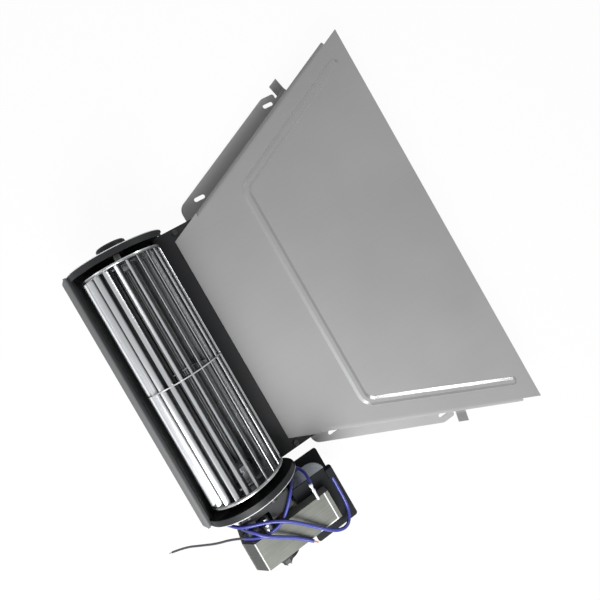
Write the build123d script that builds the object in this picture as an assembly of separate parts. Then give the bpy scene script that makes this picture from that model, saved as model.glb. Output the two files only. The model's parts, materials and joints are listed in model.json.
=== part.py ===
"""Cross flow cooling fan: a caged impeller in a scroll housing, a shaded pole motor and a flared duct.

Axes: X runs along the impeller towards the motor, Y towards the wide outlet, Z up from the panel
that the fan is screwed to. The origin lies on that panel, under the middle of the impeller.
All sizes are millimetres.
"""
from build123d import *
import math
import os

# ------------------------------------------------------------------ sheet metal
sheet = 0.8                     # steel sheet of the duct and the housing
bend_radius = 2.0               # small outside bends
seat = 0.02                     # clearance between parts that touch on a curve

# ------------------------------------------------------------------ impeller
impeller_diameter = 60.0
impeller_length = 180.0
axis_height = 49.0              # impeller axis above the panel
blade_count = 22
blade_thickness = 0.5
blade_inner_radius = 23.5
blade_exit_angle = 27.0         # between the blade tip and the rim, degrees
blade_edge = 0.5                # blade tips stand this far inside the disc rims
disc_thickness = 0.8
rim_width = 2.0                 # turned rim of each end disc, along X
rim_bend = 1.2
mid_disc_bore = 42.0
dish_radius = 17.0              # pressed step round the hub of an end disc
dish_depth = 1.6

# ------------------------------------------------------------------ shafts and running fits
shaft_diameter = 6.0
running_clearance = 0.04        # radial, shaft in a bush
hub_diameter = 15.0
hub_length = 11.0
hub_flange = 24.0
hub_flange_thickness = 1.5
hub_screw_diameter = 4.0
hub_screw_inset = 3.8           # locking screw from the open end of the hub
hub_screw_proud = 0.3           # screw past the hub
stub_flange = 22.0
stub_flange_thickness = 1.5
hub_boss = 3.0                  # boss of the stub shaft inside its disc

# ------------------------------------------------------------------ fan housing
end_space = 8.7                 # impeller end to the outside of the end plate
lip_height = 10.7               # flat lip above the axis
lip_clearance = 2.4             # scroll start to impeller
lip_width = 7.5                 # outer edge of the lip to the scroll
lip_bend = 4.0                  # rounded outer edge of the lip
lip_corner = 2.5                # cut corner at each end of the lip
entry_bend = 1.5                # lip down into the scroll
entry_height = 6.0              # the scroll starts this far above the axis
skirt_depth = 9.0               # stiffening return below the lip
floor_radius = 36.0             # scroll where it meets the floor
entry_sweep = 45.0              # first scroll arc, degrees
housing_depth = 68.0            # front edge of the housing, from the axis
tongue_gap = 3.5                # vortex tongue to impeller
tongue_drop = 8.0               # bent down edge of the tongue
end_arc_radius = 36.0           # rounded top of the end plates
end_rim = 4.0                   # turned-in rim along that arc
flap_width = 9.0                # end plate flaps under the tongue plate
flap_lead = 5.0                 # flaps start before the back edge of the duct
flap_inset = 2.0                # flap end to the front edge of the housing
rivet_diameter = 3.2
rivet_head = 6.0
rivet_head_height = 1.2
rivet_inset = 3.1               # rivet to the inside of the end plate
rivet_setback = 8.5             # rivet to the start of the flap

# ------------------------------------------------------------------ far bearing
cup_radius = 11.0
cup_depth = 7.9
grommet_bore = 10.6
grommet_length = 6.0
grommet_groove = 0.8
bush_length = 8.0
shaft_hole = 20.0               # clearance hole of the motor end plate

# ------------------------------------------------------------------ duct
duct_height = 29.5              # panel to the top of the duct
duct_length = 188.0             # front edge of the housing to the outlet
duct_overlap = 25.0             # top over the tongue plate
wall_angle = 25.64              # walls open out by this, degrees
wall_outset = 2.0               # wall beside the end plate, where it starts
wall_bend = 4.0
wall_setback = 17.0             # walls stop short of the outlet
tip_inset = 3.2                 # flat tip inside the wall line
flange_width = 14.8
flange_overlap = 6.0            # flange beside the housing
flange_setback = 69.5           # flange end to the outlet
flange_corner = 9.0
flange_square = 10.4            # past this much wall the flange's edge runs parallel to Y
housing_clearance = 1.5         # flange beside the housing
slot_width = 3.6
slot_length = 10.0
slot_outset = 7.6               # slots beside the wall line
slot_rear_inset = 13.5          # rear slot to the start of the wall
slot_front_inset = 9.5          # front slot to the end of the flange
hook_width = 10.0
hook_reach = 15.0
hook_rise = 4.5
hook_start = 5.0                # hook past the flange, along the wall
bead_width = 8.0
bead_height = 1.4
bead_slope = 62.0               # from upright, degrees
bead_start = 44.0               # cross run of the bead to the start of the wall
bead_setback = 17.5             # bead ends to the outlet
bead_margin = 19.5              # bead to side wall
bead_corner = 12.0

# ------------------------------------------------------------------ motor core and coil
core_standoff = 21.8            # end plate to the lamination stack
core_stack = 21.0
core_half_height = 24.0
core_back = 23.5                # closed end behind the shaft
core_front = 44.5               # ends of the two legs
core_chamfer_run = 8.0
core_chamfer_drop = 12.0
leg_height = 10.0
coil_limb = 10.0                # coil core, along Y
window_start = 20.0
rotor_radius = 13.0
air_gap = 0.4
bridge_slot = 2.0
bridge = 2.5                    # iron left beside a bridge slot
ring_bar = 1.6                  # square copper bar of a shading ring
ring_circle = 15.9              # bars lie on this radius
ring_angles = (22.0, 62.0)      # the two bars of one ring
bobbin_wall = 1.2
bobbin_clearance = 0.2
bobbin_upper = 10.5             # upper flange past the stack, along X
bobbin_lower = 16.5             # lower flange past the stack
bobbin_depth = 17.0             # flanges to either side of the limb, along Y
bobbin_corner = 2.0
winding_margin = 0.8            # winding inside the edge of the upper flange
winding_depth = 15.0            # winding to either side of the limb
winding_corner = 12.0
terminal_length = 7.0           # block that holds the end of the supply lead
terminal_depth = 5.0
terminal_height = 4.0

# ------------------------------------------------------------------ motor brackets and rotor
bracket_sheet = 1.2
bracket_gap = 5.0               # bracket plate to stack
bracket_near = 16.0             # arm width towards the lip
bracket_far = 20.0              # arm width towards the duct
ear_depth = 8.0
ear_reach = 14.5                # ears to either side of the shaft
arm_window = (6.5, 11.0)        # opening over a bolt head, X by Y
bearing_cup = 8.5
cup_hole = 4.2                  # radius of the hole in the end of a bearing cup
bearing_length = 4.5
strap_width = 7.4               # strap of the rear bracket
strap_slope = 3.5               # its step, along Z
strap_hub = 11.0                # radius of its middle
end_ring_length = 2.0
end_ring_radius = 12.4
washer_radius = 5.2
washer_play = 0.2               # washers to the bearings
bolt_diameter = 4.0
bolt_height = 19.3              # core bolts above and below the shaft
bolt_back = 2.4                 # and towards the lip
bolt_head = 6.6
bolt_head_height = 2.6
bolt_overhang = 1.6             # thread past the nut
nut_width = 6.2
nut_height = 3.8
spacer_diameter = 6.4
ear_screw_offset = 9.5          # bracket screws, to either side of the shaft
ear_screw_diameter = 3.5
ear_screw_head = 6.4
ear_screw_head_height = 1.9
ear_screw_length = 4.5

# ------------------------------------------------------------------ leads
lead_diameter = 2.4
tail_diameter = 1.6
sleeve_diameter = 3.0
lead_bend_share = 0.45          # share of the shorter run that an arc may use
# Routes: corners from the front face of the stack, on the shaft axis.
lead_start = (-2.5, 53.0, 15.6)
supply_route = [
    lead_start, (11.5, 53, 15.6), (24.5, 52, 16), (31.5, 45.5, 20.5), (26, 35, 26), (11.5, 22.5, 26.5),
    (-0.5, 12, 28.5), (-8.5, 0.5, 28.5), (-13, -11, 27.6), (-15.5, -19, 24), (-17.5, -25, 14), (-18.3, -30.5, 2.5),
    (-18.5, -36, -8), (-17, -39.5, -19.5), (-14, -39.5, -31), (-10.5, -33, -40), (-8, -23.5, -41),
    (-6.7, -17.5, -32), (-7.3, -17.5, -19), (-8.7, -18, -6.5), (-10, -18.4, 6), (-11.5, -18, 19.5),
    (-8.5, -12, 27), (-2.5, -7.5, 28.8), (5, 1.5, 27.5), (13.5, 11.5, 26), (22, 19, 25.5),
]
tap_route = [
    (-11, 30, -5), (-17, 30, 1), (-18.2, 27.8, 12), (-16.5, 23, 25.7), (-7.5, 14.8, 25.9), (-0.7, 5, 25.7),
    (-1, -6.5, 26), (-2.7, -14, 22.5), (-3.1, -20, 14),
]
tail_route = [
    (-3.1, -20, 14), (-3.5, -28, 4.5), (-2.2, -40, -8), (-2.5, -51.5, -21), (-3, -64, -35), (-1.5, -75.5, -45.5),
]
coil_route = [(-12.5, 34.5, -8), (-16.5, 34.5, -3), (-17.8, 36.5, 8), (-16, 38, 20), (-11.5, 36.5, 25.8)]
sleeve_route = [(-11.5, 36.5, 25.8), (-5.5, 36.3, 26.5), (0.5, 35.5, 26.1)]

# ------------------------------------------------------------------ worked out from the sizes above
impeller_radius = impeller_diameter / 2
half_impeller = impeller_length / 2
half_housing = half_impeller + end_space
end_inner = half_housing - sheet
shaft_radius = shaft_diameter / 2
bush_bore = shaft_radius + running_clearance
disc_bore = hub_diameter / 2 + seat
blade_reach = half_impeller - rim_width
dish_outer = blade_reach - dish_depth + disc_thickness
hub_start = dish_outer + hub_flange_thickness - hub_length
lip_start = -(impeller_radius + lip_clearance)
lip_edge = lip_start - lip_width
tongue_top = duct_height - sheet
cup_bottom = half_housing + cup_depth - sheet

wall_start = housing_depth
duct_back = housing_depth - duct_overlap
duct_front = housing_depth + duct_length
flap_start = duct_back - flap_lead
flap_end = housing_depth - flap_inset
rivet_place = (end_inner - rivet_inset, flap_start + rivet_setback)
duct_flare = math.tan(math.radians(wall_angle))
wall_end = duct_front - wall_setback
flange_start = wall_start - flange_overlap
flange_end = duct_front - flange_setback
bead_back = wall_start + bead_start
bead_front = duct_front - bead_setback

core_start = half_housing + core_standoff
core_end = core_start + core_stack
core_middle = core_start + core_stack / 2
coil_back = core_front - coil_limb
coil_middle = core_front - coil_limb / 2
leg_gap = core_half_height - leg_height
bearing_cup_depth = bearing_length + seat
front_plate = core_start - bracket_gap - bracket_sheet
rear_plate = core_end + bracket_gap
rear_face = rear_plate + bracket_sheet


def box_between(low, high):
    """Box from its lowest to its highest corner."""
    size = [b - a for a, b in zip(low, high)]
    centre = [(a + b) / 2 for a, b in zip(low, high)]
    return Pos(*centre) * Box(*size)


def at_axis(shape):
    """Lift a shape that was made round the X axis to the impeller axis."""
    return Pos(0, 0, axis_height) * shape


def prism_x(face, start, end):
    """Extrude a face of the YZ plane from one X to another."""
    return extrude(Plane.YZ.offset(start) * face, amount=end - start)


def rod_x(radius, start, end, y=0.0, z=0.0):
    """Round bar along X, placed from the impeller axis."""
    return at_axis(Pos(0, y, z) * prism_x(Circle(radius), start, end))


def round_axis(face, start, end):
    """Extrude a face drawn round the impeller axis, in its place on that axis."""
    return at_axis(prism_x(face, start, end))


def turned(*outline):
    """Solid of revolution about the impeller axis from (x, radius) points."""
    return at_axis(revolve(make_face(Polyline(*outline, close=True)), Axis.X))


def sheet_face(path, thickness, side):
    """Cross-section of a folded sheet, from the path of one of its faces."""
    return make_face(Wire(path.edges()).offset_2d(thickness, side=side))


def mirror_x(shape):
    return mirror(shape, about=Plane.YZ)


def one_part(shapes):
    """Several separate solids kept as one node."""
    return Compound(children=[solid for shape in shapes for solid in shape.solids()])


# ------------------------------------------------------------------ impeller
def blade_profile():
    """One forward-curved blade: an arc that leaves the inner circle square to it."""
    tip_radius = impeller_radius - blade_edge
    exit_angle = math.radians(blade_exit_angle)
    arc = (tip_radius**2 - blade_inner_radius**2) / (2 * tip_radius * math.cos(exit_angle))
    centre_distance = math.hypot(arc, blade_inner_radius)

    def angle_at_centre(radius):
        cosine = (centre_distance**2 + arc**2 - radius**2) / (2 * centre_distance * arc)
        return math.degrees(math.acos(cosine))

    sweep = angle_at_centre(tip_radius) - angle_at_centre(blade_inner_radius)
    centre = (-arc, blade_inner_radius)
    outer = CenterArc(centre, arc + blade_thickness / 2, 0, sweep)
    inner = CenterArc(centre, arc - blade_thickness / 2, 0, sweep)
    return make_face([*outer.edges(), Line(outer @ 1, inner @ 1), *inner.edges(), Line(inner @ 0, outer @ 0)])


def blade_ring(start, end):
    """All the blades between two discs, as separate strips."""
    blade = round_axis(blade_profile(), start, end)
    about_shaft = Axis((0, 0, axis_height), (1, 0, 0))
    return one_part(blade.rotate(about_shaft, 360 * k / blade_count) for k in range(blade_count))


def end_disc(bore_radius):
    """Pressed end disc on the motor side: dished round the hub, with an outward rim."""
    dish_face = blade_reach - dish_depth
    path = FilletPolyline(
        (dish_face, bore_radius),
        (dish_face, dish_radius),
        (blade_reach, dish_radius + dish_depth),
        (blade_reach, impeller_radius),
        (half_impeller, impeller_radius),
        radius=[rim_bend, rim_bend, rim_bend],
    )
    return at_axis(revolve(sheet_face(path, disc_thickness, Side.RIGHT), Axis.X))


def mid_disc():
    half = disc_thickness / 2
    inner = mid_disc_bore / 2
    return turned((-half, inner), (half, inner), (half, impeller_radius), (-half, impeller_radius))


def stub_shaft():
    """Short shaft of the far end, flanged to its disc."""
    flange = dish_outer + stub_flange_thickness
    tip = cup_bottom - sheet
    return turned(
        (-dish_outer + hub_boss, 0),
        (-dish_outer + hub_boss, hub_diameter / 2),
        (-dish_outer, hub_diameter / 2),
        (-dish_outer, stub_flange / 2),
        (-flange, stub_flange / 2),
        (-flange, shaft_radius),
        (-tip, shaft_radius),
        (-tip, 0),
    )


def drive_hub():
    """Flanged hub of the motor disc, with a tapped hole for its locking screw."""
    flange = hub_start + hub_length
    bore = shaft_radius + seat
    blank = turned(
        (hub_start, bore),
        (hub_start, hub_diameter / 2),
        (dish_outer, hub_diameter / 2),
        (dish_outer, hub_flange / 2),
        (flange, hub_flange / 2),
        (flange, bore),
    )
    screw_hole = Cylinder(hub_screw_diameter / 2, hub_diameter)
    return blank - at_axis(Pos(hub_start + hub_screw_inset, 0, hub_diameter / 2) * screw_hole)


def hub_screw():
    """Grub screw with a hexagon socket, standing on the motor shaft."""
    top = hub_diameter / 2 + hub_screw_proud
    length = top - shaft_radius - seat
    body = Cylinder(hub_screw_diameter / 2 - seat, length)
    socket = extrude(RegularPolygon(hub_screw_diameter / 4, 6), amount=length / 2)
    return at_axis(Pos(hub_start + hub_screw_inset, 0, top - length / 2) * (body - socket))


# ------------------------------------------------------------------ fan housing
def scroll_path(offset=0.0):
    """Scroll seen along X, from the lip down and round to the floor; offset moves it outwards."""
    drop = entry_height + axis_height - sheet
    turn = math.sin(math.radians(entry_sweep))
    entry_radius = (drop - floor_radius * (1 - turn)) / turn
    entry = JernArc((lip_start - offset, entry_height), (0, -1), entry_radius + offset, entry_sweep)
    foot = JernArc(entry @ 1, entry % 1, floor_radius + offset, 90 - entry_sweep)
    return entry, foot, Line(foot @ 1, (housing_depth, (foot @ 1).Y))


def fan_housing():
    """One folded sheet: stiffening return, rounded lip, scroll and floor."""
    entry, foot, base = scroll_path()
    lip = FilletPolyline(
        (lip_edge, lip_height - skirt_depth),
        (lip_edge, lip_height),
        (lip_start, lip_height),
        (lip_start, entry_height),
        radius=[lip_bend, entry_bend],
    )
    path = Wire([*lip.edges(), *entry.edges(), *foot.edges(), *base.edges()])
    section = make_face(path.offset_2d(sheet, side=Side.RIGHT))
    return round_axis(section, -end_inner, end_inner) - lip_cuts()


def lip_cuts():
    """Prisms that take the two corners off the lip."""
    outer = lip_edge - sheet
    size = lip_corner + sheet
    corner = Polyline((end_inner, outer), (end_inner, outer + size), (end_inner - size, outer), close=True)
    cut = Pos(0, 0, axis_height - lip_height) * extrude(make_face(corner), amount=3 * lip_height)
    return cut + mirror_x(cut)


def tongue_plate():
    """Dark strip beside the impeller, bent down into the vortex tongue."""
    height = tongue_top - axis_height
    edge = math.sqrt((impeller_radius + tongue_gap) ** 2 - height**2)
    corners = [(housing_depth, height), (edge, height), (edge, height - tongue_drop)]
    path = FilletPolyline(*corners, radius=bend_radius)
    return round_axis(sheet_face(path, sheet, Side.LEFT), -end_inner, end_inner) - rivet_bars()


def rivet_bars():
    """Shanks of the two rivets, for cutting their holes."""
    x, y = rivet_place
    bar = Pos(x, y, duct_height) * Cylinder(rivet_diameter / 2, duct_height / 2)
    return bar + mirror_x(bar)


def housing_rivets():
    """Domed rivets through the tongue plate and the end plate flaps."""
    x, y = rivet_place
    top = tongue_top + rivet_head_height
    foot = tongue_top - 2 * sheet - rivet_head_height
    shank = rivet_diameter / 2 - seat
    grip = tongue_top - 2 * sheet
    outline = Polyline(
        (0, foot),
        (rivet_head / 3, foot),
        (rivet_head / 2, grip),
        (shank, grip),
        (shank, tongue_top),
        (rivet_head / 2, tongue_top),
        (rivet_head / 3, top),
        (0, top),
        close=True,
    )
    rivet = Pos(x, y, 0) * revolve(make_face(Plane.XZ * outline), Axis.Z)
    return one_part([rivet, mirror_x(rivet)])


def end_outline():
    """Face of an end plate: the closed scroll with a round top about the shaft."""
    entry, foot, base = scroll_path(sheet)
    edge = lip_edge + lip_corner
    roof = tongue_top - sheet - axis_height
    front = Polyline(
        base @ 1,
        (housing_depth, roof),
        (0, roof),
        (0, lip_height),
        (edge, lip_height),
        (edge, entry_height),
        entry @ 0,
    )
    lower = make_face([*entry.edges(), *foot.edges(), *base.edges(), *front.edges()])
    return lower + Circle(end_arc_radius)


def end_plate():
    """Pressed end plate of the motor side, without its holes: face, top rim and flap."""
    face = round_axis(end_outline(), end_inner, half_housing)
    ring = Circle(end_arc_radius) - Circle(end_arc_radius - sheet)
    over_lip = Pos(0, lip_height + sheet + end_arc_radius) * Rectangle(2 * end_arc_radius, 2 * end_arc_radius)
    rim = round_axis(ring & over_lip, end_inner - end_rim, end_inner)
    roof = tongue_top - sheet
    flap = box_between((end_inner - flap_width, flap_start, roof - sheet), (end_inner, flap_end, roof))
    return face + rim + flap - rivet_bars()


def far_end_plate():
    """End plate with a drawn cup that holds the far bearing."""
    cup = turned(
        (end_inner, 0),
        (half_housing + cup_depth, 0),
        (half_housing + cup_depth, cup_radius - bend_radius / 2),
        (half_housing + cup_depth - bend_radius / 2, cup_radius),
        (end_inner, cup_radius),
    )
    inside = rod_x(cup_radius - sheet, end_inner - sheet, cup_bottom)
    return mirror_x(end_plate() + cup - inside)


def motor_end_plate():
    """End plate with the shaft hole and the screw holes of the motor bracket."""
    plate = end_plate() - rod_x(shaft_hole / 2, end_inner - sheet, half_housing + sheet)
    for y, z in ear_screw_places():
        plate -= rod_x(ear_screw_diameter / 2, end_inner - sheet, half_housing + sheet, y, z)
    return plate


# ------------------------------------------------------------------ far bearing
def bearing_grommet():
    """Rubber ring between the far bush and its cup."""
    start = cup_bottom - grommet_length
    outer = cup_radius - sheet - seat
    waist = outer - grommet_groove
    return turned(
        (-start, grommet_bore / 2),
        (-start, outer),
        (-start - grommet_length / 3, outer),
        (-start - grommet_length / 3, waist),
        (-cup_bottom + grommet_length / 3, waist),
        (-cup_bottom + grommet_length / 3, outer),
        (-cup_bottom, outer),
        (-cup_bottom, grommet_bore / 2),
    )


def bush(start, end, radius):
    """Plain sintered bush with broken corners."""
    chamfer = running_clearance * 10
    return turned(
        (start, bush_bore),
        (start, radius - chamfer),
        (start + chamfer, radius),
        (end - chamfer, radius),
        (end, radius - chamfer),
        (end, bush_bore),
    )


# ------------------------------------------------------------------ duct
def duct_half_width(y):
    """Wall line on the motor side, at a distance from the axis."""
    return half_housing + wall_outset + duct_flare * (y - wall_start)


def side_sweep(path, side, thickness=sheet):
    """Run a wall section along the slanted side; it is drawn as (outward, up) from the wall line."""
    slant = math.radians(wall_angle)
    spare = flange_width + hook_reach
    start_y = duct_back - spare
    plane = Plane(
        origin=(duct_half_width(start_y), start_y, 0),
        x_dir=(math.cos(slant), -math.sin(slant), 0),
        z_dir=(-math.sin(slant), -math.cos(slant), 0),
    )
    length = (duct_front - duct_back + 2 * spare) / math.cos(slant)
    return extrude(plane * sheet_face(path, thickness, side), amount=-length)


def y_slice(shape, start, end):
    """Keep what lies between two distances from the axis."""
    reach = 2 * duct_half_width(duct_front)
    return shape & box_between((-reach, start, -duct_height), (reach, end, 2 * duct_height))


def flange_keep():
    """Space that the flange and its wall may fill: trims the flange's ends and outer edge."""
    across = flange_width / math.cos(math.radians(wall_angle))
    limit = duct_half_width(flange_end) + flange_square
    turn_y = flange_end - (across - flange_square) / duct_flare
    beside = half_housing + housing_clearance
    edge = FilletPolyline(
        (0, wall_start),
        (beside, wall_start),
        (beside, flange_start),
        (duct_half_width(flange_start) + across, flange_start),
        (limit, turn_y),
        (limit, flange_end),
        (0, flange_end),
        radius=[sheet, sheet, flange_corner, flange_corner, bend_radius],
    )
    plan = make_face([*edge.edges(), Line(edge @ 1, edge @ 0)])
    over_start = box_between((0, 0, sheet), (2 * limit, wall_start, duct_height + sheet))
    return extrude(plan, amount=duct_height) - over_start


def slot_tool(y):
    """One fixing slot, along Y."""
    slot = Rot(0, 0, 90) * SlotOverall(slot_length, slot_width)
    return Pos(duct_half_width(y) + slot_outset, y, 0) * extrude(slot.face(), amount=sheet, both=True)


def hook_keep():
    """Space of the hook: a strip square to the wall, from just past the flange."""
    y = flange_end + hook_start
    strip = Rot(0, 0, -wall_angle) * Rectangle(2 * hook_reach, hook_width, align=(Align.CENTER, Align.MIN))
    return Pos(duct_half_width(y), y, -sheet) * extrude(strip, amount=2 * duct_height)


def duct_side():
    """Wall, mounting flange and hook tab of the motor side."""
    crown = [(-2 * wall_bend, duct_height), (0, duct_height)]
    flanged = FilletPolyline(*crown, (0, sheet), (2 * flange_width, sheet), radius=[wall_bend, bend_radius])
    hooked = FilletPolyline(
        *crown,
        (0, sheet),
        (hook_reach / 3, sheet),
        (hook_reach, sheet + hook_rise),
        radius=[wall_bend, bend_radius, bend_radius],
    )
    base = FilletPolyline(*crown, (0, sheet), (hook_reach / 3, sheet), radius=[wall_bend, bend_radius])
    plain = FilletPolyline(*crown, (0, 0), radius=wall_bend)
    side = side_sweep(flanged, Side.RIGHT) & flange_keep()
    side += y_slice(side_sweep(plain, Side.RIGHT), flange_end, wall_end)
    side += y_slice(side_sweep(base, Side.RIGHT), flange_end, flange_end + hook_start)
    side += side_sweep(hooked, Side.RIGHT) & hook_keep()
    return side - slot_tool(wall_start + slot_rear_inset) - slot_tool(flange_end - slot_front_inset)


def duct_top():
    """Flat top, narrower where a wall's bend carries on from it."""
    slant = math.cos(math.radians(wall_angle))
    bend = 2 * wall_bend / slant
    inset = tip_inset / slant
    half = Polyline(
        (0, duct_back),
        (duct_half_width(duct_back), duct_back),
        (duct_half_width(wall_start), wall_start),
        (duct_half_width(wall_start) - bend, wall_start),
        (duct_half_width(wall_end) - bend, wall_end),
        (duct_half_width(wall_end) - inset, wall_end),
        (duct_half_width(duct_front) - inset, duct_front),
        (0, duct_front),
        close=True,
    )
    plate = Pos(0, 0, tongue_top) * extrude(make_face(half), amount=sheet)
    return plate + mirror_x(plate)


def bead_path():
    """Centre line of the pressed bead: a cross run and two runs beside the walls."""
    margin = bead_margin / math.cos(math.radians(wall_angle))
    side = duct_half_width(bead_front) - margin
    corner = duct_half_width(bead_back) - margin
    line = FilletPolyline(
        (side, bead_front), (corner, bead_back), (-corner, bead_back), (-side, bead_front), radius=bead_corner
    )
    return Wire(line.edges())


def bead_plan(width):
    return make_face(bead_path().offset_2d(width / 2, side=Side.BOTH))


def diffuser_duct():
    """The whole folded sheet: top, two walls with their flanges and hooks, and the bead."""
    side = duct_side()
    duct = duct_top() + side + mirror_x(side)
    ridge = extrude(bead_plan(bead_width), amount=bead_height, taper=bead_slope)
    groove = extrude(bead_plan(bead_width - sheet / 2), amount=bead_height, taper=bead_slope)
    return duct + Pos(0, 0, duct_height) * ridge - Pos(0, 0, tongue_top) * groove


# ------------------------------------------------------------------ motor core and coil
def bolt_places():
    return [(-bolt_back, bolt_height), (-bolt_back, -bolt_height)]


def ring_places():
    """Centres of the shading ring bars: one pair in each pole."""
    first = [polar_place(angle) for angle in ring_angles]
    return [first, [(-y, -z) for y, z in first]]


def polar_place(angle):
    turn = math.radians(angle)
    return ring_circle * math.cos(turn), ring_circle * math.sin(turn)


def stator_core():
    """C-shaped stack: chamfered back, round bore with bridge slots, and two legs."""
    top, low = core_half_height, core_half_height - core_chamfer_drop
    back, near = -core_back, core_chamfer_run - core_back
    outline = make_face(
        Polyline(
            (back, -low),
            (near, -top),
            (core_front, -top),
            (core_front, -leg_gap),
            (window_start, -leg_gap),
            (window_start, leg_gap),
            (core_front, leg_gap),
            (core_front, top),
            (near, top),
            (back, low),
            close=True,
        )
    )
    bore = rotor_radius + air_gap
    slots = Rectangle(core_back - bridge, bridge_slot, align=(Align.MAX, Align.CENTER))
    slots += Rectangle(window_start - bridge, bridge_slot, align=(Align.MIN, Align.CENTER))
    outline -= Circle(bore) + slots
    for pair in ring_places():
        for y, z in pair:
            turn = math.degrees(math.atan2(z, y))
            outline -= Pos(y, z) * Rot(0, 0, turn) * Rectangle(ring_bar + 2 * seat, ring_bar + 2 * seat)
    for y, z in bolt_places():
        outline -= Pos(y, z) * Circle(bolt_diameter / 2 + seat)
    return round_axis(outline, core_start, core_end)


def coil_core():
    """Straight limb of the stack that carries the coil, between the legs."""
    half = leg_gap
    return at_axis(box_between((core_start, coil_back, -half), (core_end, core_front, half)))


def coil_bobbin():
    """Square tube on the limb with two flanges, and a small block for the lead."""
    gap = bobbin_clearance
    edge = leg_gap - seat
    tube = box_between(
        (core_start - gap - bobbin_wall, coil_back - gap - bobbin_wall, -edge),
        (core_end + gap + bobbin_wall, core_front + gap + bobbin_wall, edge),
    )
    upper = Pos(core_middle, coil_middle, edge - bobbin_wall) * bobbin_flange(bobbin_upper)
    lower = Pos(core_middle, coil_middle, -edge) * bobbin_flange(bobbin_lower)
    hole = box_between(
        (core_start - gap, coil_back - gap, -leg_gap),
        (core_end + gap, core_front + gap, leg_gap),
    )
    x, y, z = lead_start
    block = box_between(
        (core_start + x - terminal_length, y - terminal_depth / 2, edge),
        (core_start + x, y + terminal_depth / 2, leg_gap + terminal_height),
    )
    return at_axis(tube + upper + lower - hole + block)


def bobbin_flange(overhang):
    plan = RectangleRounded(core_stack + 2 * overhang, 2 * bobbin_depth, bobbin_corner)
    return extrude(plan, amount=bobbin_wall)


def coil_winding():
    """Taped winding with round corners, between the bobbin flanges."""
    half = leg_gap - bobbin_wall - 2 * seat
    gap = bobbin_clearance + bobbin_wall + seat
    length = core_stack + 2 * (bobbin_upper - winding_margin)
    body = extrude(RectangleRounded(length, 2 * winding_depth, winding_corner), amount=half, both=True)
    body -= extrude(Rectangle(core_stack + 2 * gap, coil_limb + 2 * gap), amount=half, both=True)
    return at_axis(Pos(core_middle, coil_middle, 0) * body)


def shading_rings():
    """Two copper rings: each is a pair of bars through a pole, joined at both faces."""
    rings = []
    for (y1, z1), (y2, z2) in ring_places():
        turn = math.degrees(math.atan2(z2 - z1, y2 - y1))
        length = math.hypot(y2 - y1, z2 - z1)
        end = Pos((y1 + y2) / 2, (z1 + z2) / 2) * Rot(0, 0, turn) * Rectangle(length + ring_bar, ring_bar)
        ring = round_axis(end, core_start - seat - ring_bar, core_start - seat)
        ring += round_axis(end, core_end + seat, core_end + seat + ring_bar)
        for y, z in ((y1, z1), (y2, z2)):
            bar = Pos(y, z) * Rot(0, 0, math.degrees(math.atan2(z, y))) * Rectangle(ring_bar, ring_bar)
            ring += round_axis(bar, core_start - seat - ring_bar, core_end + seat + ring_bar)
        rings.append(ring)
    return one_part(rings)


# ------------------------------------------------------------------ motor brackets
def ear_screw_places():
    """Screws of the bracket ears, as (y, z) from the shaft."""
    height = core_half_height + ear_depth / 2
    return [(y, z) for y in (-ear_screw_offset, ear_screw_offset) for z in (-height, height)]


def bearing_cup_solid(plate_face, direction):
    """Drawn cup of a bracket, with its wall, open towards the rotor; direction is +1 or -1 along X."""
    bottom = plate_face + direction * bearing_cup_depth
    cup = rod_x(bearing_cup, *sorted((plate_face, bottom)))
    inner_end = bottom - direction * bracket_sheet
    start = plate_face - direction * 2 * bracket_sheet
    inside = rod_x(bearing_cup - bracket_sheet, *sorted((start, inner_end)))
    hole = rod_x(cup_hole, *sorted((start, bottom + direction)))
    return cup, inside + hole


def motor_bracket():
    """Black folded bracket: two ears on the end plate, two arms and the front bearing plate."""
    face = front_plate + bracket_sheet
    arm = core_half_height
    ear_top = arm + ear_depth
    inside = arm - bracket_sheet
    path = FilletPolyline(
        (half_housing, ear_top),
        (half_housing, inside),
        (front_plate, inside),
        (front_plate, -inside),
        (half_housing, -inside),
        (half_housing, -ear_top),
        radius=[bend_radius, bend_radius / 2, bend_radius / 2, bend_radius],
    )
    section = Plane.XZ.offset(bracket_near) * sheet_face(path, bracket_sheet, Side.LEFT)
    bracket = extrude(section, amount=-(bracket_near + bracket_far))
    cup, inside = bearing_cup_solid(front_plate, -1)
    bracket = at_axis(bracket) + cup - inside
    for y, z in bolt_places():
        bracket -= rod_x(bolt_diameter / 2 + seat, half_housing, core_start, y, z)
        width, depth = arm_window
        middle = math.copysign(arm, z)
        window = Pos(front_plate - width / 2, y, middle) * Box(width, depth, ear_depth / 2)
        bracket -= at_axis(window)
    for y, z in ear_screw_places():
        bracket -= rod_x(ear_screw_diameter / 2 + seat, half_housing, front_plate, y, z)
    for side in (-1, 1):
        spare = Pos(half_housing, side * ear_reach, 0) * Box(
            4 * bend_radius, bracket_far, 2 * ear_top, align=(Align.CENTER, Align.MIN if side > 0 else Align.MAX, Align.CENTER)
        )
        bracket -= at_axis(spare)
    return bracket


def rear_bracket():
    """Stepped strap over the outside of the core: ears on the stack, bearing cup in the middle."""
    foot = bolt_height - bolt_head / 2 - bracket_sheet
    path = Polyline(
        (core_end, -core_half_height),
        (core_end, -foot),
        (rear_plate, -foot + strap_slope),
        (rear_plate, foot - strap_slope),
        (core_end, foot),
        (core_end, core_half_height),
    )
    strip = Plane.XZ.offset(bolt_back - strap_width / 2) * sheet_face(path, bracket_sheet, Side.RIGHT)
    strap = at_axis(extrude(strip, amount=strap_width))
    cup, inside = bearing_cup_solid(rear_face, 1)
    bracket = strap + rod_x(strap_hub, rear_plate, rear_face) + cup - inside
    for y, z in bolt_places():
        bracket -= rod_x(bolt_diameter / 2 + seat, core_start, rear_face, y, z)
    return bracket


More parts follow.
